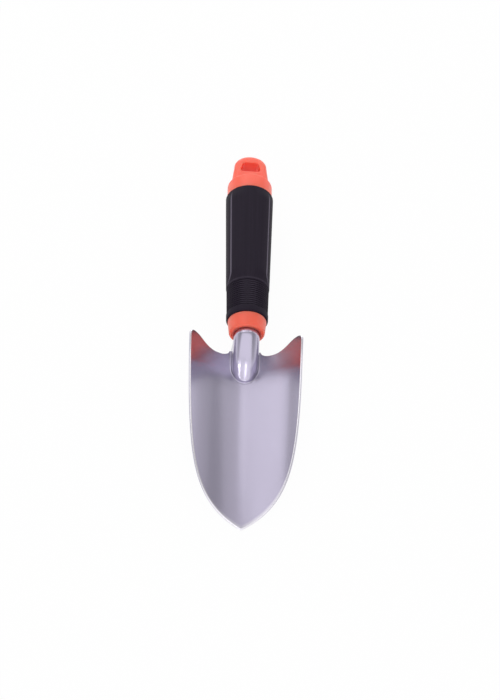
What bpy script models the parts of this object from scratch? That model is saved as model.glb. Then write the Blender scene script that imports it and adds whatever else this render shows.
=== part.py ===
"""A garden trowel lying on its belly: a pressed steel blade that carries its own neck and tang, a
plastic handle core moulded round the tang, a steel pin that locks the two together, and a rubber grip
sleeve over the core.

Metres, +Z up. The tip points along -Y and the butt of the handle along +Y. The origin is on the surface
that the trowel rests on, midway between tip and butt, under the centre line. The blade's belly and the
butt end of the grip both touch that surface."""

import math

import bmesh
import bpy
import numpy as np
from mathutils import Matrix

# Blade, measured along the trowel from the tip and across from the centre line.
BLADE_LENGTH = 0.1351  # tip to the rear edge beside the neck
BLADE_WIDTH = 0.0784  # upper face, over the horns; the sheet's underside stands out a little further
SHEET = 0.0018  # thickness of the pressed steel
TROUGH_RADIUS = 0.0580  # upper face of the trough
TIP_SPREAD = 1.60  # half width gained per length at the tip
SHOULDER = 1.47  # how tightly the tip's edges turn into the sides

# Rear edge: level beside the neck, then rising to a rounded horn on each side.
VALLEY_CENTRE = 0.0237
VALLEY_ROUND = 0.0048
HORN_SLOPE = 0.99
HORN_ROUND_WIDTH = 0.0087
HORN_ROUND_DEPTH = 0.0086

# The rear part of the blade turns up: level, then a bend, then a straight slope.
UPTURN_START = 0.1250  # from the tip
UPTURN_BEND = 0.0110
UPTURN_SLOPE = 0.21

# Ridge that the neck runs out into along the trough.
RIDGE_LENGTH = 0.0221  # from the rear edge to the front of the nose
NOSE_LENGTH = 0.0115  # round end of the ridge, in plan
NOSE_HEIGHT = 0.0050  # where the crest line would end at the front of the nose
CREST_CURVE = 1.3
WALL_DRAFT = math.radians(3.0)
FOOT_RADIUS = 0.0010  # hollow fillet between the ridge and the trough

# Neck and tang, a half tube that lies on the handle's axis.
NECK_RADIUS = 0.0091  # outer face
NECK_SWEEP = 0.0036  # how far the rear edge sweeps back into the neck
NECK_FILLET = 0.0060
TANG_SKIRT = 0.0025  # straight wall of the half tube below the axis
TANG_LENGTH = 0.0600  # inside the handle
TANG_END_RADIUS = 0.0070

# Handle, measured along its axis.
NECK_GAP = 0.0072  # rear edge of the blade to the collar's face
COLLAR_LENGTH = 0.0109
GRIP_LENGTH = 0.1135
FLANGE_LENGTH = 0.0123
TONGUE_LENGTH = 0.0270
COLLAR_RISE = 0.0200  # height of the axis at the collar's face
COLLAR_FRONT_RADIUS = 0.0125
COLLAR_BACK_RADIUS = 0.0137
COLLAR_ROUND = 0.0018
FLANGE_RADIUS = 0.0167
FLANGE_ROUND = 0.0016

# Grip sleeve.
GRIP_BUTT_RADIUS = 0.0177
GRIP_FRONT_RADIUS = 0.0148
GRIP_WALL = 0.0026
GRIP_SQUARENESS = 2.5  # exponent of the rounded square section; 2 is a circle
GRIP_END_ROUND = 0.0010
RIM_LENGTH = 0.0048  # smooth band at the front end
RIB_COUNT = 13
RIB_PITCH = 0.00175
RIB_DEPTH = 0.0005
RIB_STEP = 0.0003  # ribs lie this much below the barrel
GROOVE_AT = 0.35  # places of the groove and of the rib's top within one pitch
RIB_AT = 0.80
SQUARE_BLEND = 0.0100  # length over which the section turns from round to square

# Tongue with its hang hole.
TONGUE_ROOT_WIDTH = 0.0286
TONGUE_END_WIDTH = 0.0244
TONGUE_THICKNESS = 0.0140
TONGUE_EDGE = 0.0045
TONGUE_END_ROUND = 0.0100
TONGUE_OVERLAP = 0.0040  # how deep the tongue is rooted in the flange
HOLE_END_WALL = 0.0080  # material beyond the hole
HOLE_LENGTH = 0.0086
HOLE_NEAR_WIDTH = 0.0160
HOLE_FAR_WIDTH = 0.0110
HOLE_CORNER = 0.0020

# Pin through core and tang.
PIN_RADIUS = 0.0020
PIN_FROM_TANG_END = 0.0260
PIN_ABOVE_AXIS = 0.0015
PIN_CHAMFER = 0.0004

FIT = 0.0003  # clearance between neighbouring pieces
WELD = 0.00001

# Mesh fineness.
NOSE_COLUMNS = 13
SIDE_COLUMNS = 9
NOSE_SHARE = 0.60  # share of the blade's outline that the columns round the nose run out to
HORN_CROWDING = 1.8
CROWN_ROWS = 5
WALL_ROWS = 2
FOOT_ROWS = 2
TROUGH_ROWS = 9
ROW_CROWDING = 0.6  # of the trough's rows, towards the ridge and towards the blade's edge
TANG_STATIONS = 6
LINE_SAMPLES = 400
ROUND_SEGMENTS = 40
PIN_SEGMENTS = 24
TONGUE_END_STEPS = 14
CORNER_STEPS = 3
BLEND_STEPS = 3
SHARP_EDGE = math.radians(40)

# Places that follow from the sizes.
HANDLE_LENGTH = TONGUE_LENGTH + FLANGE_LENGTH + GRIP_LENGTH + COLLAR_LENGTH
GRIP_BUTT = TONGUE_LENGTH + FLANGE_LENGTH  # from the butt end, along the handle
GRIP_FRONT = GRIP_BUTT + GRIP_LENGTH
PIN_PLACE = HANDLE_LENGTH - TANG_LENGTH + PIN_FROM_TANG_END
PITCH = math.atan2(COLLAR_RISE - GRIP_BUTT_RADIUS, GRIP_LENGTH + COLLAR_LENGTH)
COLLAR_FROM_TIP = BLADE_LENGTH + NECK_GAP
OVERALL_LENGTH = COLLAR_FROM_TIP + HANDLE_LENGTH * math.cos(PITCH)
TIP_Y = -OVERALL_LENGTH / 2
BUTT_Y = OVERALL_LENGTH / 2
BUTT_RISE = COLLAR_RISE - HANDLE_LENGTH * math.sin(PITCH)
HALF_WIDTH = BLADE_WIDTH / 2
NECK_JOIN = BLADE_LENGTH + NECK_SWEEP
NOSE_FRONT = BLADE_LENGTH - RIDGE_LENGTH
NOSE_CENTRE = NOSE_FRONT + FOOT_RADIUS + NOSE_LENGTH
GRIP_SLOPE = (GRIP_FRONT_RADIUS - GRIP_BUTT_RADIUS) / GRIP_LENGTH


def trough_height(x):
    """Height of the trough's upper face: a circle of its radius, a sheet's thickness above the floor."""
    return SHEET + TROUGH_RADIUS - np.sqrt(TROUGH_RADIUS**2 - np.square(x))


def floor_height(x, from_tip):
    """Height of the blade's upper face: the trough, turned up towards the rear edge."""
    bent = np.clip(from_tip - UPTURN_START, 0, UPTURN_BEND)
    straight = np.clip(from_tip - UPTURN_START - UPTURN_BEND, 0, None)
    return trough_height(x) + UPTURN_SLOPE * (bent**2 / (2 * UPTURN_BEND) + straight)


def axis_height(from_tip):
    """Height of the handle's axis over a point this far from the tip."""
    return COLLAR_RISE + (COLLAR_FROM_TIP - from_tip) * math.tan(PITCH)


def edge_rise(x):
    """How far the rear edge has moved back at this distance from the centre line: half of a hyperbola."""
    beyond = x - VALLEY_CENTRE
    return HORN_SLOPE * (np.sqrt(beyond**2 + VALLEY_ROUND**2) + beyond) / 2


def quarter_round(share):
    """Falls from 1 at share 0 to 0 at share 1 along a quarter circle that starts upright."""
    return 1 - np.sqrt(1 - np.clip(1 - share, 0, 1) ** 2)


def neck_wall():
    """Height of the neck's straight wall at the join, between its half tube and the foot."""
    return axis_height(NECK_JOIN) - floor_height(NECK_RADIUS, NECK_JOIN) - FOOT_RADIUS


def foot_half_width():
    """Half width of the ridge where its foot meets the trough, at the neck."""
    return NECK_RADIUS + neck_wall() * math.tan(WALL_DRAFT) + FOOT_RADIUS


def rear_edge(x):
    """Distance from the tip to the rear edge: level, swept back at the neck, rising to the round horn."""
    foot = foot_half_width()
    neck = (NECK_JOIN - BLADE_LENGTH - edge_rise(foot)) * quarter_round((x - foot) / NECK_FILLET)
    horn = HORN_ROUND_DEPTH * quarter_round((HALF_WIDTH - x) / HORN_ROUND_WIDTH)
    return BLADE_LENGTH + edge_rise(x) + neck - horn


def half_width(from_tip, limit):
    """Half width of the blade: a smooth minimum of the tip's spread and the width that the sides near."""
    spread = TIP_SPREAD * from_tip
    return spread * limit / (spread**SHOULDER + limit**SHOULDER) ** (1 / SHOULDER)


def resample(points, shares):
    """Points at the given shares of a line's length."""
    steps = np.linalg.norm(np.diff(points, axis=0), axis=1)
    along = np.concatenate([[0], np.cumsum(steps)]) / steps.sum()
    return np.stack([np.interp(shares, along, points[:, k]) for k in range(points.shape[1])], axis=1)


def outline(shares):
    """The blade's outer edge from the tip to the top of the horn, as (x, distance from the tip)."""
    side_end = float(rear_edge(np.array(HALF_WIDTH)))
    limit = (HALF_WIDTH**-SHOULDER - (TIP_SPREAD * side_end) ** -SHOULDER) ** (-1 / SHOULDER)
    share = np.linspace(0, 1, LINE_SAMPLES) ** 2
    side = np.stack([half_width(side_end * share, limit), side_end * share], axis=1)
    across = HALF_WIDTH - HORN_ROUND_WIDTH * share
    horn_top = across[np.argmax(rear_edge(across))]
    across = HALF_WIDTH - (HALF_WIDTH - horn_top) * share
    horn = np.stack([across, rear_edge(across)], axis=1)
    return resample(np.concatenate([side, horn[1:]]), shares), horn_top


def crest(from_tip):
    """Height of the ridge's crest: level with the neck at the join, then curving down to the nose."""
    top = axis_height(NECK_JOIN) + NECK_RADIUS
    share = np.clip((NECK_JOIN - from_tip) / (NECK_JOIN - NOSE_FRONT), 0, None)
    return top - (top - NOSE_HEIGHT) * share**CREST_CURVE


def ridge_rows(turn, centre):
    """The ridge's section carried round its plan shape, a straight-sided U with an elliptic nose. turn is
    the angle round the nose at each column, a right angle at the front, and centre the place that it is
    about. The rows run from the crest over a round crown, down a drafted wall and along a hollow foot."""
    across, along = np.cos(turn), np.sin(turn)

    def level(half, reach):
        return half * across, centre - reach * along

    rows = []
    for angle in np.linspace(0, math.pi / 2, CROWN_ROWS + 1):
        x, s = level(NECK_RADIUS * math.sin(angle), NOSE_LENGTH * math.sin(angle))
        crown = crown_height(s)
        rows.append((x, s, crest(s) - crown * (1 - math.cos(angle))))
    x, s, spring = rows[-1]
    floor = floor_height(x, s) + FOOT_RADIUS
    for share in np.linspace(0, 1, WALL_ROWS + 1)[1:]:
        drop = (spring - floor) * share
        out = drop * math.tan(WALL_DRAFT)
        x, s = level(NECK_RADIUS + out, NOSE_LENGTH + out)
        rows.append((x, s, spring - drop))
    for angle in np.linspace(0, math.pi / 2, FOOT_ROWS + 1)[1:]:
        turned = FOOT_RADIUS * (1 - math.cos(angle))
        x, s = level(NECK_RADIUS + out + turned, NOSE_LENGTH + out + turned)
        rows.append((x, s, floor_height(x, s) + FOOT_RADIUS * (1 - math.sin(angle))))
    return [np.stack(row, axis=1) for row in rows]


def crown_height(from_tip):
    """Height of the round crown under the crest: the neck's radius, or less where the ridge runs low."""
    room = crest(from_tip) - floor_height(NECK_RADIUS, from_tip) - FOOT_RADIUS
    return np.minimum(NECK_RADIUS, room)


def trough_rows(foot):
    """Rows of the trough from the ridge's foot to the blade's edge. The columns crowd towards the horn,
    the rows towards both ends. The rows' rear ends follow the rear edge, a pull that fades out along the
    ridge."""
    toward_horn = 1 - (1 - np.linspace(0, 1, SIDE_COLUMNS + 1)[1:]) ** HORN_CROWDING
    around_nose = np.linspace(0, NOSE_SHARE, NOSE_COLUMNS + 1)
    shares = np.concatenate([around_nose, NOSE_SHARE + (1 - NOSE_SHARE) * toward_horn])
    edge, horn_top = outline(shares)
    foot = foot[:, :2]
    pull = np.clip((shares - NOSE_SHARE) / (1 - NOSE_SHARE), 0, 1)
    pull = pull**2 * (3 - 2 * pull)
    even = np.linspace(0, 1, TROUGH_ROWS + 1)[1:]
    rows = []
    for share in even - ROW_CROWDING * np.sin(2 * math.pi * even) / (2 * math.pi):
        flat = foot * (1 - share) + edge * share
        x = foot[-1, 0] + (horn_top - foot[-1, 0]) * share
        bend = np.array([x, float(rear_edge(np.array(x)))]) - flat[-1]
        flat = flat + pull[:, None] * bend
        rows.append(np.column_stack([flat, floor_height(flat[:, 0], flat[:, 1])]))
    return rows


def tang_columns():
    """Sections of the neck and tang behind the join: a half tube on the handle's axis, narrowing to its
    end, whose lower edges climb from the trough to the skirt before the collar. Each runs from the crest
    down."""
    climb = NECK_GAP - NECK_SWEEP - FIT
    end = COLLAR_FROM_TIP + TANG_LENGTH
    lift = np.linspace(0, 1, TANG_STATIONS + 1)[1:]
    beyond = np.linspace(NECK_JOIN + climb, end, TANG_STATIONS)[1:]
    stations = np.concatenate([NECK_JOIN + climb * lift, beyond])
    crown = np.linspace(0, math.pi / 2, CROWN_ROWS + 1)
    wall = np.linspace(0, 1, WALL_ROWS + 1)[1:]
    full_wall = neck_wall()
    columns = []
    for s in stations:
        radius = tang_radius(s)
        axis = axis_height(s)
        risen = min(1, (s - NECK_JOIN) / climb)
        risen = risen**2 * (3 - 2 * risen)
        depth = full_wall + (TANG_SKIRT - full_wall) * risen
        draft = math.tan(WALL_DRAFT) * (1 - risen)
        x = np.concatenate([radius * np.sin(crown), radius + depth * wall * draft])
        z = np.concatenate([axis + radius * np.cos(crown), axis - depth * wall])
        columns.append(np.column_stack([x, np.full_like(x, s), z]))
    return columns


def tang_radius(from_tip):
    """Outer radius of the neck and tang, tapering from the join to the tang's end."""
    share = (from_tip - NECK_JOIN) / (COLLAR_FROM_TIP + TANG_LENGTH - NECK_JOIN)
    return NECK_RADIUS + (TANG_END_RADIUS - NECK_RADIUS) * share


def quads(index):
    """Faces of a grid of vertex numbers, wound so that they face up."""
    corners = [index[:-1, :-1], index[1:, :-1], index[1:, 1:], index[:-1, 1:]]
    return np.stack(corners, axis=-1).reshape(-1, 4)


def new_object(name, mesh, collection, parent=None):
    obj = bpy.data.objects.new(name, mesh)
    collection.objects.link(obj)
    obj.parent = parent
    return obj


def mesh_from(name, verts, faces):
    """A mesh whose doubled vertices, as at a pole or a seam, are merged and whose faces agree."""
    mesh = bpy.data.meshes.new(name)
    bm = bmesh.new()
    points = [bm.verts.new(v) for v in verts]
    for face in faces:
        bm.faces.new([points[i] for i in face])
    bmesh.ops.remove_doubles(bm, verts=bm.verts, dist=WELD)
    bm.to_mesh(mesh)
    bm.free()
    return mesh


def cut(target, cutter, operation="DIFFERENCE"):
    boolean = target.modifiers.new(cutter.name, "BOOLEAN")
    boolean.operation = operation
    boolean.solver = "EXACT"
    boolean.object = cutter


def make_blade(parts, pin_bore):
    """The pressing: half of its upper face as one grid, mirrored, then thickened downwards."""
    columns = NOSE_COLUMNS + SIDE_COLUMNS + 1
    turn = np.concatenate([np.linspace(math.pi / 2, 0, NOSE_COLUMNS + 1), np.zeros(SIDE_COLUMNS)])
    centre = np.concatenate(
        [
            np.full(NOSE_COLUMNS, NOSE_CENTRE),
            np.linspace(NOSE_CENTRE, NECK_JOIN, SIDE_COLUMNS + 1),
        ]
    )
    rows = ridge_rows(turn, centre)
    neck_rows = CROWN_ROWS + WALL_ROWS + 1
    rows += trough_rows(rows[-1])
    face = np.stack(rows)
    index = np.arange(face.shape[0] * columns).reshape(face.shape[0], columns)
    tang = np.stack(tang_columns(), axis=1)
    tang_index = index.size + np.arange(tang.shape[0] * tang.shape[1]).reshape(tang.shape[:2])
    tang_index = np.column_stack([index[:neck_rows, -1], tang_index])
    verts = np.concatenate([face.reshape(-1, 3), tang.reshape(-1, 3)])
    verts[np.abs(verts[:, 0]) < WELD, 0] = 0
    verts[:, 1] += TIP_Y
    faces = np.concatenate([quads(index), quads(tang_index)])
    blade = new_object("blade", mesh_from("blade", verts, faces), parts)
    mirror = blade.modifiers.new("other half", "MIRROR")
    mirror.use_axis = (True, False, False)
    mirror.merge_threshold = WELD
    mirror.use_clip = True
    sheet = blade.modifiers.new("sheet", "SOLIDIFY")
    sheet.thickness = SHEET
    sheet.offset = -1
    sheet.use_even_offset = True
    cut(blade, pin_bore)
    return blade


def turned(name, profile, collection, parent):
    """A solid turned about the handle's axis from a profile of (radius, distance) pairs. The profile
    starts on the axis at the blade end and runs to the axis at the butt."""
    mesh = bpy.data.meshes.new(name)
    verts = [(radius, 0, along) for radius, along in profile]
    mesh.from_pydata(verts, [(i, i + 1) for i in range(len(verts) - 1)], [])
    obj = new_object(name, mesh, collection, parent)
    screw = obj.modifiers.new("turn", "SCREW")
    screw.axis = "Z"
    screw.steps = ROUND_SEGMENTS
    screw.render_steps = ROUND_SEGMENTS
    screw.use_merge_vertices = True
    screw.merge_threshold = WELD
    return obj


def rounded(radius, along, size, start):
    """Profile points of a quarter round about a centre, from the start angle on, towards the butt."""
    angles = np.linspace(start, start - math.pi / 2, CORNER_STEPS + 1)
    return [(radius + size * math.cos(a), along + size * math.sin(a)) for a in angles]


def seat_radius(along):
    """Radius of the core under the sleeve."""
    return grip_radius(along) - GRIP_WALL - FIT


def grip_radius(along):
    """Radius of the sleeve's barrel this far from the butt end of the handle."""
    return GRIP_BUTT_RADIUS + GRIP_SLOPE * (along - GRIP_BUTT)


def core_profile():
    collar_slope = (COLLAR_FRONT_RADIUS - COLLAR_BACK_RADIUS) / COLLAR_LENGTH
    shoulder = COLLAR_FRONT_RADIUS - collar_slope * COLLAR_ROUND
    profile = [(0, HANDLE_LENGTH)]
    profile += rounded(shoulder - COLLAR_ROUND, HANDLE_LENGTH - COLLAR_ROUND, COLLAR_ROUND, math.pi / 2)
    profile += [
        (COLLAR_BACK_RADIUS, GRIP_FRONT),
        (seat_radius(GRIP_FRONT), GRIP_FRONT),
        (seat_radius(GRIP_BUTT), GRIP_BUTT),
        (FLANGE_RADIUS, GRIP_BUTT),
    ]
    profile += rounded(FLANGE_RADIUS - FLANGE_ROUND, TONGUE_LENGTH + FLANGE_ROUND, FLANGE_ROUND, 0)
    profile += [(0, TONGUE_LENGTH)]
    return profile


def flat_solid(name, points, thickness, edge, collection, parent):
    """A flat outline in the handle's level plane, as a solid of this thickness about the axis. points
    are (across, distance from the butt end)."""
    curve = bpy.data.curves.new(name, "CURVE")
    curve.dimensions = "2D"
    curve.fill_mode = "BOTH"
    curve.extrude = thickness / 2
    spline = curve.splines.new("POLY")
    spline.points.add(len(points) - 1)
    for point, (across, along) in zip(spline.points, points):
        point.co = (across, along, 0, 1)
    spline.use_cyclic_u = True
    guide = bpy.data.objects.new(name + "_outline", curve)
    collection.objects.link(guide)
    depsgraph = bpy.context.evaluated_depsgraph_get()
    mesh = bpy.data.meshes.new_from_object(guide.evaluated_get(depsgraph))
    bpy.data.objects.remove(guide)
    bm = bmesh.new()
    bm.from_mesh(mesh)
    bmesh.ops.remove_doubles(bm, verts=bm.verts, dist=WELD)
    bmesh.ops.dissolve_limit(bm, angle_limit=math.radians(1), verts=bm.verts, edges=bm.edges)
    bm.transform(Matrix.Rotation(math.pi / 2, 4, "X"))
    bmesh.ops.recalc_face_normals(bm, faces=bm.faces)
    bm.to_mesh(mesh)
    bm.free()
    obj = new_object(name, mesh, collection, parent)
    if edge:
        bevel = obj.modifiers.new("edges", "BEVEL")
        bevel.width = edge
        bevel.segments = 3
        bevel.limit_method = "ANGLE"
        bevel.angle_limit = SHARP_EDGE
    return obj


def tongue_outline():
    """Sides that taper towards the butt, closed by half an ellipse."""
    half_root, half_end = TONGUE_ROOT_WIDTH / 2, TONGUE_END_WIDTH / 2
    turn = np.linspace(0, math.pi, TONGUE_END_STEPS + 1)
    end = [(half_end * math.cos(a), TONGUE_END_ROUND * (1 - math.sin(a))) for a in turn]
    root = TONGUE_LENGTH + TONGUE_OVERLAP
    return [(half_root, root)] + end + [(-half_root, root)]


def hole_outline():
    """The hang hole: widest towards the flange, narrower at the far side, with rounded corners."""
    near, far = HOLE_END_WALL + HOLE_LENGTH, HOLE_END_WALL
    wide, narrow = HOLE_NEAR_WIDTH / 2, HOLE_FAR_WIDTH / 2
    corners = np.array([(wide, near), (-wide, near), (-narrow, far), (narrow, far)])
    points = []
    for before, corner, after in zip(np.roll(corners, 1, axis=0), corners, np.roll(corners, -1, axis=0)):
        back = (before - corner) / np.linalg.norm(before - corner)
        ahead = (after - corner) / np.linalg.norm(after - corner)
        half_angle = math.acos(back @ ahead) / 2
        middle = (back + ahead) / np.linalg.norm(back + ahead)
        centre = corner + middle * HOLE_CORNER / math.sin(half_angle)
        reach = HOLE_CORNER / math.tan(half_angle)
        for share in np.linspace(0, 1, CORNER_STEPS + 1):
            toward = corner + (back * (1 - share) + ahead * share) * reach - centre
            points.append(centre + toward / np.linalg.norm(toward) * HOLE_CORNER)
    return points


def tang_slot(cutters):
    """The space that the tang fills in the core: the tang's own sections, grown by the clearance."""
    crown = np.linspace(-math.pi / 2, math.pi / 2, 2 * CROWN_ROWS + 1)
    start = COLLAR_FROM_TIP - SHEET
    sections = []
    for s in (start, COLLAR_FROM_TIP + TANG_LENGTH + FIT):
        outer = tang_radius(s) + FIT
        inner = tang_radius(s) - SHEET - FIT
        axis = axis_height(s)
        low = axis - TANG_SKIRT - FIT
        ring = [(outer, low)] + [(outer * math.sin(a), axis + outer * math.cos(a)) for a in crown[::-1]]
        ring += [(-outer, low), (-inner, low)]
        ring += [(inner * math.sin(a), axis + inner * math.cos(a)) for a in crown] + [(inner, low)]
        sections.append([(x, s + TIP_Y, z) for x, z in ring])
    count = len(sections[0])
    faces = [(i, (i + 1) % count, count + (i + 1) % count, count + i) for i in range(count)]
    faces += [tuple(range(count - 1, -1, -1)), tuple(range(count, 2 * count))]
    mesh = mesh_from("tang_slot", sections[0] + sections[1], faces)
    bm = bmesh.new()
    bm.from_mesh(mesh)
    bmesh.ops.recalc_face_normals(bm, faces=bm.faces)
    bm.to_mesh(mesh)
    bm.free()
    return new_object("tang_slot", mesh, cutters)


def cross_cylinder(name, radius, half_length, collection, parent):
    """A round bar across the handle at the pin's place."""
    bpy.ops.mesh.primitive_cylinder_add(vertices=PIN_SEGMENTS, radius=radius, depth=2 * half_length)
    obj = bpy.context.active_object
    obj.name = name
    for owner in list(obj.users_collection):
        owner.objects.unlink(obj)
    collection.objects.link(obj)
    obj.parent = parent
    obj.location = (0, PIN_ABOVE_AXIS, PIN_PLACE)
    obj.rotation_euler = (0, math.pi / 2, 0)
    return obj


def make_core(parts, cutters, frame, pin_bore):
    core = turned("handle_core", core_profile(), parts, frame)
    tongue = flat_solid("tongue", tongue_outline(), TONGUE_THICKNESS, TONGUE_EDGE, cutters, frame)
    hole = flat_solid("hang_hole", hole_outline(), 2 * TONGUE_THICKNESS, 0, cutters, frame)
    cut(core, tongue, "UNION")
    cut(core, hole)
    cut(core, tang_slot(cutters))
    cut(core, pin_bore)
    return core


def grip_stations():
    """The sleeve's outer face, butt to front, as (distance from the butt end, drop below the barrel,
    exponent)."""
    ribs_front = GRIP_FRONT - FIT - RIM_LENGTH
    ribs_back = ribs_front - RIB_COUNT * RIB_PITCH
    butt = GRIP_BUTT + FIT
    front = GRIP_FRONT - FIT
    end_round = [
        (GRIP_END_ROUND * (1 - math.sin(a)), GRIP_END_ROUND * (1 - math.cos(a)), 2.0)
        for a in np.linspace(0, math.pi / 2, CORNER_STEPS)
    ]
    blend = np.linspace(0, 1, BLEND_STEPS + 1)
    stations = [(butt + back, drop, exponent) for back, drop, exponent in end_round[::-1]]
    for share in blend[1:]:
        exponent = 2 + (GRIP_SQUARENESS - 2) * share
        stations.append((butt + GRIP_END_ROUND + SQUARE_BLEND * share, 0, exponent))
    for share in blend[::-1]:
        exponent = 2 + (GRIP_SQUARENESS - 2) * share
        stations.append((ribs_back - SQUARE_BLEND * share, 0, exponent))
    for rib in range(RIB_COUNT):
        start = ribs_back + rib * RIB_PITCH
        stations.append((start + GROOVE_AT * RIB_PITCH, RIB_STEP + RIB_DEPTH, 2.0))
        stations.append((start + RIB_AT * RIB_PITCH, RIB_STEP, 2.0))
    stations.append((ribs_front, 0, 2.0))
    stations += [(front - back, drop, exponent) for back, drop, exponent in end_round]
    return stations


def section(radius, exponent):
    """A ring |x|^n + |y|^n = r^n, a circle for n = 2 and a rounded square above it."""
    turn = np.arange(ROUND_SEGMENTS) * 2 * math.pi / ROUND_SEGMENTS
    across, up = np.sin(turn), np.cos(turn)
    reach = radius / (np.abs(across) ** exponent + np.abs(up) ** exponent) ** (1 / exponent)
    return reach * across, reach * up


def make_grip(parts, frame):
    """The sleeve: rings along its outer face from butt to front, then back along the core's bore."""
    rings = [(along, grip_radius(along) - drop, exponent) for along, drop, exponent in grip_stations()]
    front, butt = rings[-1][0], rings[0][0]
    rings += [(along, seat_radius(along) + FIT, 2.0) for along in (front, butt)]
    verts, count = [], ROUND_SEGMENTS
    for along, radius, exponent in rings:
        across, up = section(radius, exponent)
        verts += list(zip(across, up, np.full(count, along)))
    index = np.arange(len(verts)).reshape(len(rings), count)
    index = np.column_stack([index, index[:, 0]])
    index = np.vstack([index, index[0]])
    mesh = mesh_from("grip_sleeve", verts, quads(index))
    bm = bmesh.new()
    bm.from_mesh(mesh)
    bmesh.ops.recalc_face_normals(bm, faces=bm.faces)
    bm.to_mesh(mesh)
    bm.free()
    return new_object("grip_sleeve", mesh, parts, frame)


def make_pin(parts, frame):
    """The pin stops short of the core's surface, so the sleeve lies flat over it."""
    seat = seat_radius(PIN_PLACE)
    half = math.sqrt(seat**2 - (PIN_ABOVE_AXIS + PIN_RADIUS) ** 2) - FIT
    pin = cross_cylinder("tang_pin", PIN_RADIUS, half, parts, frame)
    bevel = pin.modifiers.new("chamfer", "BEVEL")
    bevel.width = PIN_CHAMFER
    bevel.segments = 1
    bevel.limit_method = "ANGLE"
    return pin


def material(obj, name, colour, roughness, metallic):
    finish = bpy.data.materials.new(name)
    finish.use_nodes = True
    shader = finish.node_tree.nodes["Principled BSDF"]
    shader.inputs["Base Color"].default_value = (*colour, 1)
    shader.inputs["Roughness"].default_value = roughness
    shader.inputs["Metallic"].default_value = metallic
    obj.data.materials.clear()
    obj.data.materials.append(finish)
    obj.data.shade_smooth()
    obj.data.set_sharp_from_angle(angle=SHARP_EDGE)


def new_collection(name):
    collection = bpy.data.collections.new(name)
    bpy.context.scene.collection.children.link(collection)
    return collection


def build():
    for obj in list(bpy.data.objects):
        bpy.data.objects.remove(obj)
    parts = new_collection("garden_trowel")
    cutters = new_collection("cutters")
    frame = bpy.data.objects.new("handle_axis", None)
    parts.objects.link(frame)
    frame.location = (0, BUTT_Y, BUTT_RISE)
    frame.rotation_euler = (math.pi / 2 - PITCH, 0, 0)
    bpy.context.view_layer.update()

    pin_bore = cross_cylinder("pin_bore", PIN_RADIUS + FIT, GRIP_BUTT_RADIUS, cutters, frame)
    blade = make_blade(parts, pin_bore)
    core = make_core(parts, cutters, frame, pin_bore)
    sleeve = make_grip(parts, frame)
    pin = make_pin(parts, frame)
    for cutter in cutters.objects:
        cutter.hide_render = True
        cutter.display_type = "WIRE"

    material(blade, "silver_painted_steel", (0.50, 0.48, 0.56), 0.30, 0.60)
    material(core, "orange_plastic", (0.95, 0.17, 0.10), 0.35, 0.0)
    material(sleeve, "black_rubber", (0.026, 0.021, 0.030), 0.60, 0.0)
    material(pin, "plain_steel", (0.60, 0.60, 0.62), 0.35, 1.0)


build()
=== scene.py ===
# %% [markdown]
# # A garden trowel, dressed
#
# This lesson dresses a finished CAD model of a hand trowel: a pressed steel blade that carries its own neck, an
# orange plastic handle core, a black rubber grip over it, and a steel pin inside. The CAD solids give every place
# and size. Each visible piece is worked out here again as a finer surface, in the same frame and in metres: the tip
# points along -Y, the butt of the handle along +Y, and the trowel lies on the floor at height 0.

# %% Load the CAD model as a fixed frame
import math
import bpy
import numpy as np
from mathutils import Matrix, Vector


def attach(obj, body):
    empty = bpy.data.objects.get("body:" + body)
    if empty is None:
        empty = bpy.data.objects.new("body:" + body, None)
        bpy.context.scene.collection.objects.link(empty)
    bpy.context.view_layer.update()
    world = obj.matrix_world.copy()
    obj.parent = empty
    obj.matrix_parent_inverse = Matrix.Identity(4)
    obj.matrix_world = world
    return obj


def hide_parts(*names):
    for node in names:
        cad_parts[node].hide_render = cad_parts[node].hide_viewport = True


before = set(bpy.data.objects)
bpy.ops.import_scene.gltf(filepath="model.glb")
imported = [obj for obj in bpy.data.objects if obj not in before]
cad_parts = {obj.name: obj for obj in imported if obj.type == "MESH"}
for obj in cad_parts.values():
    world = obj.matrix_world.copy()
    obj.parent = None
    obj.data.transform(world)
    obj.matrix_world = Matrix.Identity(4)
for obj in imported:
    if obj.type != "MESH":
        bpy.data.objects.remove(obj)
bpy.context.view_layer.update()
print("CAD nodes:", sorted(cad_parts))

# %% [markdown]
# The camera comes first, because it decides how fine each piece has to be. It stands on the side of the tip, looks
# down steeply and stands a metre away, so the blade looms a little larger than the handle. A camera object is its
# place and its three axes. The trowel lies almost straight in the picture, but its round belly lets it tilt a little
# to one side. So the axes are those of a camera that looks squarely along the trowel, rolled and tilted by a few
# degrees.

# %% Camera
VIEW_ELEVATION = math.radians(56.2)
VIEW_DISTANCE = 1.0
VIEW_ROLL = math.radians(2.6)
LIE_TURN, LIE_TILT = math.radians(1.2), math.radians(2.6)
FOCAL_PIXELS = 1403.0
PICTURE_HEIGHT = 700.0
AIM = Vector((0.0037, -0.0098, 0.0))

lie = Matrix.Rotation(LIE_TURN, 3, "Z") @ Matrix.Rotation(LIE_TILT, 3, "Y")
backwards = Vector((0, -math.cos(VIEW_ELEVATION), math.sin(VIEW_ELEVATION)))
upwards = Vector((0, math.sin(VIEW_ELEVATION), math.cos(VIEW_ELEVATION)))
roll = Matrix.Rotation(VIEW_ROLL, 3, backwards)
axes = [lie.transposed() @ (roll @ axis) for axis in (Vector((1, 0, 0)), upwards, backwards)]
camera_data = bpy.data.cameras.new("camera")
camera_data.sensor_fit = "VERTICAL"
camera_data.sensor_height = 24.0
camera_data.lens = FOCAL_PIXELS * camera_data.sensor_height / PICTURE_HEIGHT
camera = bpy.data.objects.new("camera", camera_data)
bpy.context.scene.collection.objects.link(camera)
turned_axes = Matrix(axes).transposed().to_4x4()
camera.matrix_world = Matrix.Translation(AIM + axes[2] * VIEW_DISTANCE) @ turned_axes
bpy.context.scene.camera = camera
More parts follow.
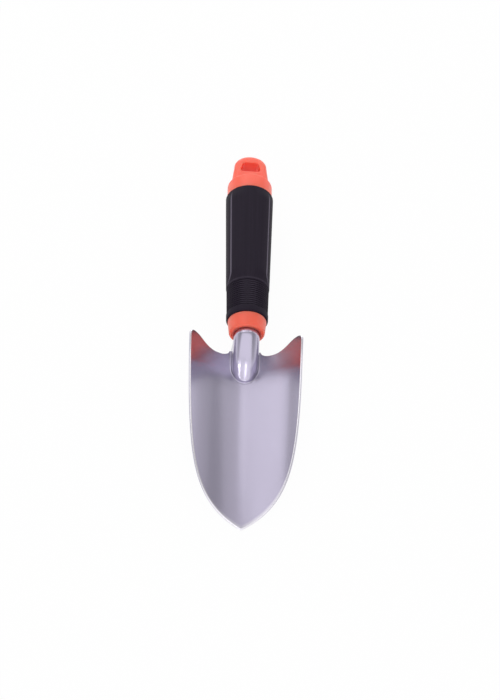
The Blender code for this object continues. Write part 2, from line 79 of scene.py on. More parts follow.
print("lens", round(camera_data.lens, 2), "mm, camera at", [round(v, 3) for v in camera.matrix_world.translation])

# %% [markdown]
# All pieces share a few tools. A surface is a grid of points, one row after another, computed as whole arrays.
# Cutting each cell into two triangles gives its faces. Where a grid closes on itself or shrinks to a pole, several
# points share one place, so they are given one number and the triangles that have become flat are dropped. Points
# can carry a value of their own too, such as a painted highlight, which a material reads by its name.

# %% Tools for surfaces
WELD = 1e-7


def grid_triangles(number):
    """Cuts each cell of a grid of point numbers along its diagonal, keeping the turning sense of the grid."""
    a, b, c, d = number[:-1, :-1], number[1:, :-1], number[1:, 1:], number[:-1, 1:]
    halves = [np.stack([a, b, c], axis=-1), np.stack([a, c, d], axis=-1)]
    return np.concatenate([half.reshape(-1, 3) for half in halves])


def merged(points, triangles):
    """Points within a tenth of a micron become one. Returns points, triangles, and each old point's new number."""
    keys = np.round(points / WELD).astype(np.int64)
    _, first, number = np.unique(keys, axis=0, return_index=True, return_inverse=True)
    number = number.reshape(-1)
    corners = number[triangles]
    ends = np.roll(corners, 1, axis=1)
    return points[first], corners[(corners != ends).all(axis=1)], number


def point_normals(points, triangles):
    """The sum of the normals of the triangles round each point, each as long as its area, made one unit long."""
    corner = points[triangles]
    face = np.cross(corner[:, 1] - corner[:, 0], corner[:, 2] - corner[:, 0])
    total = np.zeros_like(points)
    for k in range(3):
        np.add.at(total, triangles[:, k], face)
    return total / np.linalg.norm(total, axis=1, keepdims=True)


def facing_out(points, triangles):
    """A closed surface holds a positive volume when its faces point outwards; otherwise they are turned over."""
    corner = points[triangles]
    volume = np.einsum("ij,ij->i", corner[:, 0], np.cross(corner[:, 1], corner[:, 2])).sum() / 6
    return triangles if volume > 0 else triangles[:, ::-1]


def new_piece(name, points, triangles, sharp=30):
    """A mesh object of these triangles, smooth except over edges that turn by more than this many degrees."""
    mesh = bpy.data.meshes.new(name)
    mesh.from_pydata(points.tolist(), [], triangles.tolist())
    mesh.shade_smooth()
    mesh.set_sharp_from_angle(angle=math.radians(sharp))
    piece = bpy.data.objects.new(name, mesh)
    bpy.context.scene.collection.objects.link(piece)
    print(name, len(points), "points,", len(triangles), "triangles")
    return piece


def smooth(share):
    """Rises from 0 to 1 with level ends: three squares less two cubes."""
    share = np.clip(share, 0, 1)
    return share**2 * (3 - 2 * share)


def painted(piece, name, values):
    """Gives each point of a piece a value between 0 and 1, under a name that its material reads."""
    layer = piece.data.attributes.new(name, "FLOAT", "POINT")
    layer.data.foreach_set("value", np.clip(values, 0, 1).astype(np.float32))


def applied(piece):
    """Turns the piece's modifiers into plain mesh and leaves none behind."""
    depsgraph = bpy.context.evaluated_depsgraph_get()
    mesh = bpy.data.meshes.new_from_object(piece.evaluated_get(depsgraph))
    piece.modifiers.clear()
    piece.data = mesh


print("points less than", WELD, "m apart become one")

# %% [markdown]
# The blade is a trough: part of a cylinder whose axis runs along the trowel. Its outline starts at a point, swells
# to nearly straight sides and ends in a horn on each side, and the rear edge dips between the horns. One could draw
# the outline by hand as a curve. Here it is a formula instead, because the same formula then gives the rear edge,
# the horns and the width at any place. The tip is not quite sharp: pressed and painted steel has a small round there.

# %% Blade sizes and outline
MM = 0.001
SHEET = 1.8 * MM
TROUGH_RADIUS = 58 * MM
BLADE_LENGTH = 135.1 * MM
HALF_WIDTH = 39.2 * MM
TIP_SPREAD, TIP_ROUND, SHOULDER = 1.60, 0.8 * MM, 1.47
VALLEY_CENTRE, VALLEY_ROUND, HORN_SLOPE = 23.7 * MM, 4.8 * MM, 0.99
HORN_ROUND_WIDTH, HORN_ROUND_DEPTH = 8.7 * MM, 8.6 * MM
UPTURN_START, UPTURN_BEND, UPTURN_SLOPE = 125 * MM, 11 * MM, 0.21
NECK_SWEEP, NECK_FILLET = 3.6 * MM, 6.0 * MM
NECK_RADIUS, FOOT_RADIUS, WALL_DRAFT = 9.1 * MM, 1.0 * MM, math.tan(math.radians(3))
NECK_JOIN = BLADE_LENGTH + NECK_SWEEP
COLLAR_FACE, COLLAR_RISE, COLLAR_TO_BUTT_END = 142.3 * MM, 20 * MM, 124.4 * MM
GRIP_BUTT_RADIUS, GRIP_FRONT_RADIUS = 17.7 * MM, 14.8 * MM
HANDLE_LENGTH = 163.7 * MM
PITCH = math.atan2(COLLAR_RISE - GRIP_BUTT_RADIUS, COLLAR_TO_BUTT_END)
TIP_Y = -(COLLAR_FACE + HANDLE_LENGTH * math.cos(PITCH)) / 2
OUTLINE_SAMPLES = 2000


def floor_height(x, s):
    """Across, a circle that lies a sheet's thickness above the floor. Along, level, then a bend up into a slope."""
    across = SHEET + TROUGH_RADIUS - np.sqrt(TROUGH_RADIUS**2 - np.square(x))
    bent = np.clip(s - UPTURN_START, 0, UPTURN_BEND)
    straight = np.clip(s - UPTURN_START - UPTURN_BEND, 0, None)
    return across + UPTURN_SLOPE * (bent**2 / (2 * UPTURN_BEND) + straight)


def axis_height(s):
    """The handle's axis falls gently towards the butt and goes on straight over the blade."""
    return COLLAR_RISE + (COLLAR_FACE - s) * math.tan(PITCH)


def quarter_round(share):
    """Falls from 1 to 0 along a quarter circle that starts upright."""
    return 1 - np.sqrt(1 - np.clip(1 - share, 0, 1) ** 2)


def edge_rise(x):
    """Half of a hyperbola: level near the centre line, then a straight slope towards the horn."""
    beyond = x - VALLEY_CENTRE
    return HORN_SLOPE * (np.sqrt(beyond**2 + VALLEY_ROUND**2) + beyond) / 2


NECK_WALL = axis_height(NECK_JOIN) - floor_height(NECK_RADIUS, NECK_JOIN) - FOOT_RADIUS
FOOT_HALF = NECK_RADIUS + NECK_WALL * WALL_DRAFT + FOOT_RADIUS


def rear_edge(x):
    """The level edge, swept back in a fillet at the neck, rising to the horn and rounded off at its end."""
    neck = (NECK_SWEEP - edge_rise(FOOT_HALF)) * quarter_round((x - FOOT_HALF) / NECK_FILLET)
    horn = HORN_ROUND_DEPTH * quarter_round((HALF_WIDTH - x) / HORN_ROUND_WIDTH)
    return BLADE_LENGTH + edge_rise(x) + neck - horn


def half_width(s, limit):
    """A smooth minimum of two widths: the spread from the rounded tip, and the limit that the sides near."""
    past = np.clip(s - TIP_ROUND / TIP_SPREAD**2, 0, None)
    spread = np.sqrt((TIP_SPREAD * past) ** 2 + 2 * TIP_ROUND * past)
    return spread * limit / (spread**SHOULDER + limit**SHOULDER) ** (1 / SHOULDER)


def along_line(line, shares):
    """Points of a line at the given shares of its length."""
    steps = np.linalg.norm(np.diff(line, axis=0), axis=1)
    travelled = np.concatenate([[0], np.cumsum(steps)]) / steps.sum()
    return np.stack([np.interp(shares, travelled, line[:, k]) for k in (0, 1)], axis=1)


fine = np.linspace(0, 1, OUTLINE_SAMPLES) ** 2
side_end = float(rear_edge(HALF_WIDTH))
limit = (HALF_WIDTH**-SHOULDER - (TIP_SPREAD * side_end) ** -SHOULDER) ** (-1 / SHOULDER)
tip_start = TIP_ROUND / TIP_SPREAD**2
side_s = tip_start + (side_end - tip_start) * fine
side_line = np.stack([half_width(side_s, limit), side_s], axis=1)
over_horn = HALF_WIDTH - HORN_ROUND_WIDTH * fine
HORN_TOP = over_horn[np.argmax(rear_edge(over_horn))]
horn_x = HALF_WIDTH - (HALF_WIDTH - HORN_TOP) * fine
horn_line = np.stack([horn_x, rear_edge(horn_x)], axis=1)
outline = np.concatenate([side_line, horn_line[1:]])
widest, horn_top = outline.max(axis=0) / MM
print("widest", round(2 * widest, 1), "mm, horn top", round(horn_top, 1), "mm from tip")

# %% [markdown]
# The steel of the neck runs out into the blade as a ridge with a round nose. The whole upper face of one half can be
# one grid, bent round that ridge like a C: its columns start at the crest, fan out round the nose and then run
# straight to the side, and its rows go down from the crest over the crown, the wall and the hollow foot and across
# the trough to the edge. A grid that follows the form like this shades without the dents that a cut-in shape gives.

# %% Ridge: crown, wall and foot
NOSE_FRONT, NOSE_LENGTH, NOSE_HEIGHT, CREST_CURVE = BLADE_LENGTH - 22.1 * MM, 11.5 * MM, 5.0 * MM, 1.3
NOSE_CENTRE = NOSE_FRONT + FOOT_RADIUS + NOSE_LENGTH


def crest(s):
    """The neck's top at the join, falling along a power curve to the nose's height at its front."""
    top = axis_height(NECK_JOIN) + NECK_RADIUS
    share = np.clip((NECK_JOIN - s) / (NECK_JOIN - NOSE_FRONT), 0, None)
    return top - (top - NOSE_HEIGHT) * share**CREST_CURVE


def plan(half, reach, turn, centre):
    """The ridge's plan: an ellipse arm turned about the centre, straight across where the turn is zero."""
    return half * np.cos(turn), centre - reach * np.sin(turn)


def ridge_face(turn, centre, crown_rows, wall_rows, foot_rows):
    """Rows of a quarter circle over the crown, a drafted straight wall, and a hollow quarter circle at the foot."""
    angle = np.linspace(0, math.pi / 2, crown_rows)[:, None]
    x, s = plan(NECK_RADIUS * np.sin(angle), NOSE_LENGTH * np.sin(angle), turn, centre)
    room = crest(s) - floor_height(NECK_RADIUS, s) - FOOT_RADIUS
    crown = np.stack([x, s, crest(s) - np.minimum(NECK_RADIUS, room) * (1 - np.cos(angle))], axis=-1)
    spring, floor = crown[-1, :, 2], floor_height(x[-1], s[-1]) + FOOT_RADIUS
    drop = (spring - floor) * np.linspace(0, 1, wall_rows)[1:, None]
    out = drop * WALL_DRAFT
    x, s = plan(NECK_RADIUS + out, NOSE_LENGTH + out, turn, centre)
    wall = np.stack([x, s, spring - drop], axis=-1)
    angle = np.linspace(0, math.pi / 2, foot_rows)[1:, None]
    out = out[-1] + FOOT_RADIUS * (1 - np.cos(angle))
    x, s = plan(NECK_RADIUS + out, NOSE_LENGTH + out, turn, centre)
    foot = np.stack([x, s, floor_height(x, s) + FOOT_RADIUS * (1 - np.sin(angle))], axis=-1)
    return np.concatenate([crown, wall, foot])


NOSE_COLUMNS, SIDE_COLUMNS = 72, 44
CROWN_ROWS, WALL_ROWS, FOOT_ROWS = 22, 8, 9
turn = np.concatenate([np.linspace(math.pi / 2, 0, NOSE_COLUMNS), np.zeros(SIDE_COLUMNS)])
backwards_from_nose = np.linspace(NOSE_CENTRE, NECK_JOIN, SIDE_COLUMNS + 1)[1:]
centre = np.concatenate([np.full(NOSE_COLUMNS, NOSE_CENTRE), backwards_from_nose])
ridge = ridge_face(turn, centre, CROWN_ROWS, WALL_ROWS, FOOT_ROWS)
print("ridge grid", ridge.shape[:2], "crest", round(ridge[..., 2].max() / MM, 1), "mm high")

# %% [markdown]
# Across the trough the rows pass evenly from the ridge's foot to the outline. Their rear ends have to lie on the
# rear edge, so each row is pulled there, and the pull fades out towards the nose. Behind the ridge the neck goes on
# as a half tube into the handle, tapering to its end, and its lower edges climb off the trough before the collar.

# %% Trough and tang
NOSE_SHARE, NOSE_CROWDING = 0.62, 1.35
TROUGH_ROWS, TANG_STATIONS = 34, 12
TANG_LENGTH, TANG_SKIRT, TANG_END_RADIUS = 60 * MM, 2.5 * MM, 7 * MM
TANG_END = COLLAR_FACE + TANG_LENGTH
GAP = 0.3 * MM
TANG_CLIMB = COLLAR_FACE - NECK_JOIN - GAP


def trough_face(foot):
    """Straight steps from foot to outline, with the rear ends pulled onto the rear edge."""
    nose_share = NOSE_SHARE * np.linspace(0, 1, NOSE_COLUMNS) ** NOSE_CROWDING
    side_share = NOSE_SHARE + (1 - NOSE_SHARE) * np.linspace(0, 1, SIDE_COLUMNS + 1)[1:]
    shares = np.concatenate([nose_share, side_share])
    edge = along_line(outline, shares)
    pull = smooth((shares - NOSE_SHARE) / (1 - NOSE_SHARE))
    share = np.linspace(0, 1, TROUGH_ROWS + 1)[1:, None]
    rear_x = foot[-1, 0] + (HORN_TOP - foot[-1, 0]) * share
    rear = np.stack([rear_x, rear_edge(rear_x)], axis=-1)
    flat = foot[None, :, :2] * (1 - share[..., None]) + edge[None] * share[..., None]
    flat = flat + pull[None, :, None] * (rear - flat[:, -1:])
    return np.concatenate([flat, floor_height(flat[..., :1], flat[..., 1:])], axis=-1)


def tang_radius(s):
    """The neck's radius, falling evenly from the join to the tang's end."""
    return NECK_RADIUS + (TANG_END_RADIUS - NECK_RADIUS) * (s - NECK_JOIN) / (TANG_END - NECK_JOIN)


def tang_face(crown_rows, wall_rows, stations):
    """Half circles about the handle's axis with straight skirts, which climb off the trough before the collar."""
    climb = NECK_JOIN + TANG_CLIMB * np.linspace(0, 1, stations)[1:]
    s = np.concatenate([climb, np.linspace(climb[-1], TANG_END, stations)[1:]])[None, :]
    radius = tang_radius(s)
    risen = smooth((s - NECK_JOIN) / TANG_CLIMB)
    angle = np.linspace(0, math.pi / 2, crown_rows)[:, None]
    down = np.linspace(0, 1, wall_rows)[1:, None] * (NECK_WALL + (TANG_SKIRT - NECK_WALL) * risen)
    x = np.concatenate([radius * np.sin(angle), radius + down * WALL_DRAFT * (1 - risen)])
    z = axis_height(s) + np.concatenate([radius * np.cos(angle), -down])
    return np.stack([x, np.broadcast_to(s, x.shape), z], axis=-1)


trough = trough_face(ridge[-1])
tang = tang_face(CROWN_ROWS, WALL_ROWS, TANG_STATIONS)
print("trough grid", trough.shape[:2], "tang grid", tang.shape[:2])

# %% [markdown]
# Steel sheet has a thickness, and on a painted blade its edge is soft, a round that shows as a light line beside a
# darker one. Solidify with a Bevel would do it, but a bevel must not be wider than the cells beside it. Here the edge
# is computed. At each point of the rim three directions are known: along the rim, up from the sheet, and outwards. A
# quarter circle, a short straight wall and another quarter circle in the last two directions carry the upper face
# round to the lower one, which is the upper one moved down along its normals. Every point also gets an edge value
# that
# paints a highlight into the lacquer: a half where the face ends, 1 on the first part of the round, falling to 0 over
# the wall, and 0 on both faces and below.

# %% Blade: the edge, round from one face to the other
# EDGE_FADE and the gain after it set the painted highlight on the edge's round.
EDGE_ROUND, EDGE_FADE, EDGE_HIGHLIGHT_GAIN = 0.8 * MM, 0.5, 1.5


def rim_numbers(face, strip):
    """The half's outer rim in order: along the outline, back over the horn, down the neck and across the tang."""
    inner = [face[-1, :], face[-2:strip.shape[0] - 1:-1, -1], strip[-1, 1:], strip[-2::-1, -1]]
    return np.concatenate(inner)


def rounded_sheet(points, triangles, rim, thickness, radius, steps=5):
    """Points along the rim draw in by the radius; quarter circles of the normal and outward directions go round."""
    normals = point_normals(points, triangles)
    along = np.roll(points[rim], -1, axis=0) - np.roll(points[rim], 1, axis=0)
    out = np.cross(along, normals[rim])
    out /= np.linalg.norm(out, axis=1, keepdims=True)
    up = normals[rim]
    points = points.copy()
    points[rim] -= radius * out
    lower = points - thickness * normals
    angle = np.linspace(0, math.pi / 2, steps + 1)
    reach = radius * np.concatenate([np.sin(angle[1:]), np.cos(angle[:-1])])
    depth = np.concatenate([radius * (1 - np.cos(angle[1:])), thickness - radius * (1 - np.sin(angle[:-1]))])
    rings = points[rim] + reach[:, None, None] * out - depth[:, None, None] * up
    count = len(points)
    ring_numbers = 2 * count + np.arange(rings.shape[0] * len(rim)).reshape(rings.shape[0], len(rim))
    numbers = np.vstack([rim, ring_numbers, rim + count])
    numbers = np.column_stack([numbers, numbers[:, 0]])
    skirt = grid_triangles(numbers)
    everything = np.concatenate([points, lower, rings.reshape(-1, 3)])
    # Edge values paint a highlight: a half at the rim, full on the upper round, fading to 0 over the wall.
    edge = np.zeros(len(everything))
    edge[rim] = EDGE_FADE
    painted_highlight = np.clip(EDGE_HIGHLIGHT_GAIN * (1 - np.arange(len(rings)) / steps), 0, 1)
    edge[2 * count :] = np.repeat(painted_highlight, len(rim))
    return everything, np.concatenate([triangles, triangles[:, ::-1] + count, skirt]), edge


print("edge rounds of", round(EDGE_ROUND / MM, 2), "mm on a sheet of", round(SHEET / MM, 2), "mm")

# %% [markdown]
# Only one half of the blade has been computed, because the other is its mirror image, and a Mirror modifier could
# make it. Here the mirrored points are simply added, and those on the centre line fall together and become one. Then
# the whole takes its thickness at once.

# %% Blade: join the halves, give them thickness
half = np.concatenate([ridge, trough])
tang_rows = tang.shape[0]
half_number = np.arange(half.shape[0] * half.shape[1]).reshape(half.shape[:2])
strip_number = half_number.size + np.arange(tang_rows * tang.shape[1]).reshape(tang.shape[:2])
strip_number = np.column_stack([half_number[:tang_rows, -1], strip_number])
points = np.concatenate([half.reshape(-1, 3), tang.reshape(-1, 3)]) + (0, TIP_Y, 0)
points[np.abs(points[:, 0]) < WELD, 0] = 0
triangles = np.concatenate([grid_triangles(half_number), grid_triangles(strip_number)])
rim = rim_numbers(half_number, strip_number)
both = np.concatenate([points, points * (-1, 1, 1)])
both_triangles = np.concatenate([triangles, triangles[:, ::-1] + len(points)])
upper, upper_triangles, number = merged(both, both_triangles)
rim = np.concatenate([number[rim], number[rim[-2:0:-1] + len(points)]])
sheet, sheet_triangles, edge = rounded_sheet(upper, upper_triangles, rim, SHEET, EDGE_ROUND)
blade = new_piece("silver_blade", sheet, facing_out(sheet, sheet_triangles), sharp=50)
painted(blade, "edge", edge)
print("blade box mm", np.round(sheet.min(axis=0) / MM, 2), np.round(sheet.max(axis=0) / MM, 2))

# %% [markdown]
# The handle's pieces are made along its axis. A small helper carries points from handle measures (across, up and
# distance from the butt end) to their place in the trowel, so that no object has to be moved or turned afterwards.

# %% From handle measures to the trowel's frame
BUTT = np.array([0, -TIP_Y, COLLAR_RISE - HANDLE_LENGTH * math.sin(PITCH)])
ALONG = np.array([0, -math.cos(PITCH), math.sin(PITCH)])
OVER = np.array([0, math.sin(PITCH), math.cos(PITCH)])


def on_handle(across, over, along):
    """The butt end plus each measure times its direction."""
    across, over, along = np.broadcast_arrays(across, over, along)
    return BUTT + across[..., None] * np.array([1.0, 0, 0]) + over[..., None] * OVER + along[..., None] * ALONG


def closed_tube(name, across, over, along, sharp=30, painted_highlight=None):
    """A grid of rings, closed round each ring and capped at poles or joined end to end by its own points. A painted
    highlight for each point can be given too, and merged points share one value."""
    number = np.arange(across.size).reshape(across.shape)
    number = np.column_stack([number, number[:, 0]])
    points, triangles, new_number = merged(on_handle(across, over, along).reshape(-1, 3), grid_triangles(number))
    piece = new_piece(name, points, facing_out(points, triangles), sharp)
    if painted_highlight is not None:
        values = np.zeros(len(points))
        values[new_number] = painted_highlight.reshape(-1)
        painted(piece, "painted_highlight", values)
    return piece


print("the handle falls", round(math.degrees(PITCH), 2), "degrees towards its butt")

# %% [markdown]
# The grip is soft rubber moulded over the core. Its section is not a circle: over the hand's length it is a rounded
# square, whose four soft corners catch the light as long lines, and it turns round again at both ends. Such a section
# is a superellipse, the curve |x|^n + |y|^n = r^n, and only n and r change along the grip. Thirteen fine ribs and a
# smooth rim end it at the front. Ribs could be a displacement, but as geometry they keep their outline. First come
# the rings' places along the handle, close together where the form changes, and each ring's n and r.

# %% Rubber grip: its rings along the handle
GRIP_LENGTH, GRIP_BUTT = 113.5 * MM, 39.3 * MM
GRIP_FRONT = GRIP_BUTT + GRIP_LENGTH
GRIP_WALL, SNUG, GRIP_END_ROUND = 2.6 * MM, 0.04 * MM, 1.0 * MM
RIM_LENGTH, RIBS, RIB_PITCH, RIB_DEPTH, RIB_STEP = 4.8 * MM, 13, 1.75 * MM, 0.8 * MM, 0.3 * MM
SQUARENESS, SQUARE_BLEND = 2.5, 10 * MM
BUTT_STEPS, HAND_STEPS, NECK_STEPS, RIB_STEPS, RIM_STEPS, CORNER_STEPS = 12, 30, 14, 10, 5, 7
butt, front = GRIP_BUTT + GAP, GRIP_FRONT - GAP
ribs_front = front - RIM_LENGTH
ribs_back = ribs_front - RIBS * RIB_PITCH


def barrel(along):
    """The grip's radius, falling evenly from butt to front."""
    return GRIP_BUTT_RADIUS + (GRIP_FRONT_RADIUS - GRIP_BUTT_RADIUS) * (along - GRIP_BUTT) / GRIP_LENGTH


def rib_wave(along):
    """1 on top of each rib and 0 in each groove: a cosine that repeats with the pitch."""
    return 0.5 + 0.5 * np.cos(2 * math.pi * (along - ribs_back) / RIB_PITCH)


corner = np.linspace(0, math.pi / 2, CORNER_STEPS)
body_along = np.concatenate(
    [
        butt + GRIP_END_ROUND + SQUARE_BLEND * np.linspace(0, 1, BUTT_STEPS),
        np.linspace(butt + GRIP_END_ROUND + SQUARE_BLEND, ribs_back - SQUARE_BLEND, HAND_STEPS)[1:-1],
        ribs_back - SQUARE_BLEND * np.linspace(1, 0, NECK_STEPS)[:-1],
        ribs_back + RIB_PITCH * np.linspace(0, RIBS, RIBS * RIB_STEPS + 1),
        ribs_front + (RIM_LENGTH - GRIP_END_ROUND) * np.linspace(0, 1, RIM_STEPS)[1:-1],
    ]
)
in_ribs = (body_along >= ribs_back) & (body_along <= ribs_front)
groove = 1 - rib_wave(body_along)
step_down = RIB_STEP * smooth((ribs_front - body_along) / (0.5 * RIB_PITCH))
drop = np.where(in_ribs, step_down + RIB_DEPTH * groove**2, 0)
squareness = smooth((body_along - butt) / SQUARE_BLEND) * smooth((ribs_back - body_along) / SQUARE_BLEND)
exponent = 2 + (SQUARENESS - 2) * squareness
end_drop = GRIP_END_ROUND * (1 - np.cos(corner))
end_back = GRIP_END_ROUND * (1 - np.sin(corner))
ring_along = np.concatenate([butt + end_back[::-1], body_along[1:], front - end_back])
ring_radius = barrel(ring_along) - np.concatenate([end_drop[::-1], drop[1:], end_drop])
round_end = np.full(CORNER_STEPS, 2.0)
ring_exponent = np.concatenate([round_end, exponent[1:], round_end])
bore = np.array([front, butt])
ring_along = np.concatenate([ring_along, bore, ring_along[:1]])[:, None]
ring_radius = np.concatenate([ring_radius, barrel(bore) - GRIP_WALL, ring_radius[:1]])[:, None]
ring_exponent = np.concatenate([ring_exponent, [2, 2], ring_exponent[:1]])[:, None]
print("grip rings", len(ring_along), "of which on ribs", int(in_ribs.sum()))

# %% [markdown]
# Round each ring the section follows from n and r. A thin bead runs along each upper corner and bends outwards before
# the ribs. Each point also carries a painted highlight: full on the beads, weaker on a line just before the ribs and
# on the tops of the ribs, and the finish reads that. A painted map could say the same but would need an unfolded
# surface.

# %% Rubber grip: its section, its beads, and its painted highlights
RING_POINTS = 256
BEAD_TURN, BEAD_SPREAD, BEAD_HEIGHT, BEAD_HALF, BEAD_BEND = math.asin(0.76), 0.45, 0.28 * MM, 0.45 * MM, 9 * MM
LIP_BACK, LIP_HIGHLIGHT, RIB_TOP_HIGHLIGHT, CREST_TURN = 0.4 * RIB_PITCH, 0.14, 0.15, 0.45

round_turn = 2 * math.pi * np.arange(RING_POINTS) / RING_POINTS
power = np.abs(np.sin(round_turn)) ** ring_exponent + np.abs(np.cos(round_turn)) ** ring_exponent
reach = ring_radius / power ** (1 / ring_exponent)
bend = np.clip(1 - (ribs_back - ring_along) / BEAD_BEND, 0, 1) ** 2
from_top = np.abs(np.mod(round_turn + math.pi, 2 * math.pi) - math.pi)
off_bead = (from_top - BEAD_TURN - BEAD_SPREAD * bend) * ring_radius / BEAD_HALF
beaded = smooth((ring_along - butt - GRIP_END_ROUND) / SQUARE_BLEND) * (ring_along < ribs_back) * (1 - bend**4)
bead = beaded * np.exp(-(off_bead**2))
reach = reach + BEAD_HEIGHT * bead
# The lip line and the rib tops are painted highlight only; the beads carry it over their raised shape.
off_lip = (ring_along - ribs_back + LIP_BACK) / BEAD_HALF
lip = np.exp(-(off_lip**2)) * (from_top < BEAD_TURN + BEAD_SPREAD)
rib_crest = rib_wave(ring_along) ** 2 * np.exp(-((from_top / CREST_TURN) ** 4))
rib_crest = rib_crest * (ring_along > ribs_back + 0.5 * RIB_PITCH) * (ring_along < ribs_front)
# Each point's value for the finish is its painted highlight: beads, lip line and rib tops.
grip = closed_tube(
    "rubber_grip",
    reach * np.sin(round_turn),
    reach * np.cos(round_turn),
    ring_along * np.ones(RING_POINTS),
    sharp=45,
    painted_highlight=np.maximum(bead, LIP_HIGHLIGHT * lip) + RIB_TOP_HIGHLIGHT * rib_crest,
)

# %% [markdown]
# The orange core shows at both ends of the grip: a short collar round the neck in front, a flange and a flat tongue
# with a hang hole behind. Its round part is a profile turned about the axis. The Screw modifier turns profiles too,
# but the helper for closed tubes is already there.

# %% Core: the turned part
COLLAR_LENGTH, COLLAR_FRONT_RADIUS, COLLAR_BACK_RADIUS, COLLAR_ROUND = 10.9 * MM, 12.5 * MM, 13.7 * MM, 1.8 * MM
FLANGE_RADIUS, FLANGE_ROUND, TONGUE_LENGTH, EASED = 16.7 * MM, 1.6 * MM, 27 * MM, 0.35 * MM
TURN_POINTS = 144


def quarter(radius, along, size, start, steps):
    """Profile points of a quarter circle about a centre, turning towards the butt."""
    angle = np.linspace(start, start - math.pi / 2, steps)
    return np.stack([radius + size * np.cos(angle), along + size * np.sin(angle)], axis=1)


seat_front = barrel(GRIP_FRONT) - GRIP_WALL - GAP
seat_butt = barrel(GRIP_BUTT) - GRIP_WALL - GAP
collar_slope = (COLLAR_BACK_RADIUS - COLLAR_FRONT_RADIUS) / COLLAR_LENGTH
shoulder = COLLAR_FRONT_RADIUS + collar_slope * COLLAR_ROUND
profile = np.concatenate(
    [
        [(0, HANDLE_LENGTH)],
        quarter(shoulder - COLLAR_ROUND, HANDLE_LENGTH - COLLAR_ROUND, COLLAR_ROUND, math.pi / 2, 12),
        quarter(COLLAR_BACK_RADIUS - EASED, GRIP_FRONT + EASED, EASED, 0, 5),
        [(seat_front, GRIP_FRONT), (seat_butt, GRIP_BUTT)],
        quarter(FLANGE_RADIUS - EASED, GRIP_BUTT - EASED, EASED, math.pi / 2, 5),
        quarter(FLANGE_RADIUS - FLANGE_ROUND, TONGUE_LENGTH + FLANGE_ROUND, FLANGE_ROUND, 0, 12),
        [(0, TONGUE_LENGTH)],
    ]
)
spin = 2 * math.pi * np.arange(TURN_POINTS) / TURN_POINTS
turned_radius, turned_along = profile[:, :1], profile[:, 1:]
core = closed_tube(
    "orange_core", turned_radius * np.sin(spin), turned_radius * np.cos(spin), turned_along * np.ones(TURN_POINTS)
)

# %% [markdown]
# The tongue is a ring-shaped surface that needs no cutting: one parameter runs round its outline, the other over the
# rounded rim, across the top to the hole, down the hole's wall and back below.

# %% Core: the tongue as a ring round its hole
ROOT_HALF, END_HALF, END_ROUND, THICK_HALF, TONGUE_EDGE = 14.3 * MM, 12.2 * MM, 10 * MM, 7 * MM, 4.2 * MM
END_START = 0.01 * MM  # keeps the rounded end within the box of the CAD
HOLE_FAR, HOLE_NEAR, HOLE_FAR_HALF, HOLE_NEAR_HALF, HOLE_CORNER = 8 * MM, 16.6 * MM, 5.5 * MM, 8 * MM, 2 * MM
TONGUE_ROOT, ROOT_ROUND = TONGUE_LENGTH + 6 * MM, 5 * MM
HOLE_EASED = 0.5 * MM
TONGUE_POINTS, END_POINTS, ROOT_POINTS = 200, 90, 60
EDGE_STEPS, FACE_STEPS, HOLE_STEPS = 10, 6, 5


def rounded_polygon(corners, radius, steps=24):
    """Each corner gives way to an arc that touches both its sides; the arcs' points in order are the outline."""
    corners = np.asarray(corners, dtype=float)
    back = np.roll(corners, 1, axis=0) - corners
    ahead = np.roll(corners, -1, axis=0) - corners
    back /= np.linalg.norm(back, axis=1, keepdims=True)
    ahead /= np.linalg.norm(ahead, axis=1, keepdims=True)
    middle = back + ahead
    middle /= np.linalg.norm(middle, axis=1, keepdims=True)
    half_angle = np.arccos((back * ahead).sum(axis=1))[:, None] / 2
    centres = corners + middle * radius / np.sin(half_angle)
    share = np.linspace(0, 1, steps)[None, :, None]
    touch = (radius / np.tan(half_angle))[:, None]
    chord = corners[:, None] + (back[:, None] * (1 - share) + ahead[:, None] * share) * touch
    toward = chord - centres[:, None]
    toward /= np.linalg.norm(toward, axis=2, keepdims=True)
    return (centres[:, None] + radius * toward).reshape(-1, 2)


def by_angle(loop, middle, count, samples=4000):
    """A loop as distances from a middle point, read off at even angles round it."""
    loop = along_line(np.concatenate([loop, loop[:1]]), np.linspace(0, 1, samples))
    across, along = (loop - middle).T
    angle = 2 * math.pi * np.arange(count) / count
    far = np.interp(angle, np.arctan2(along, across), np.hypot(across, along), period=2 * math.pi)
    return middle + far[:, None] * np.stack([np.cos(angle), np.sin(angle)], axis=1)


def inset(loop, distance):
    """Moves each point of a loop to its left, square to the line through its two neighbours."""
    along = np.roll(loop, -1, axis=0) - np.roll(loop, 1, axis=0)
    along /= np.linalg.norm(along, axis=1, keepdims=True)
    return loop + distance[:, None, None] * np.stack([-along[:, 1], along[:, 0]], axis=1)


end_turn = np.linspace(-math.pi, 0, END_POINTS)
end_arc = np.stack([END_HALF * np.cos(end_turn), END_START + END_ROUND * (1 + np.sin(end_turn))], axis=1)
root_turn = np.linspace(0, math.pi, ROOT_POINTS)
root_across = np.sign(np.cos(root_turn)) * (ROOT_HALF - ROOT_ROUND) + ROOT_ROUND * np.cos(root_turn)
root_arc = np.stack([root_across, TONGUE_ROOT - ROOT_ROUND * (1 - np.sin(root_turn))], axis=1)
hole_middle = np.array([0, (HOLE_FAR + HOLE_NEAR) / 2])
tongue_loop = by_angle(np.concatenate([end_arc, root_arc]), hole_middle, TONGUE_POINTS)
hole_far = [(-HOLE_FAR_HALF, HOLE_FAR), (HOLE_FAR_HALF, HOLE_FAR)]
hole_near = [(HOLE_NEAR_HALF, HOLE_NEAR), (-HOLE_NEAR_HALF, HOLE_NEAR)]
hole_loop = by_angle(rounded_polygon(hole_far + hole_near, HOLE_CORNER), hole_middle, TONGUE_POINTS)

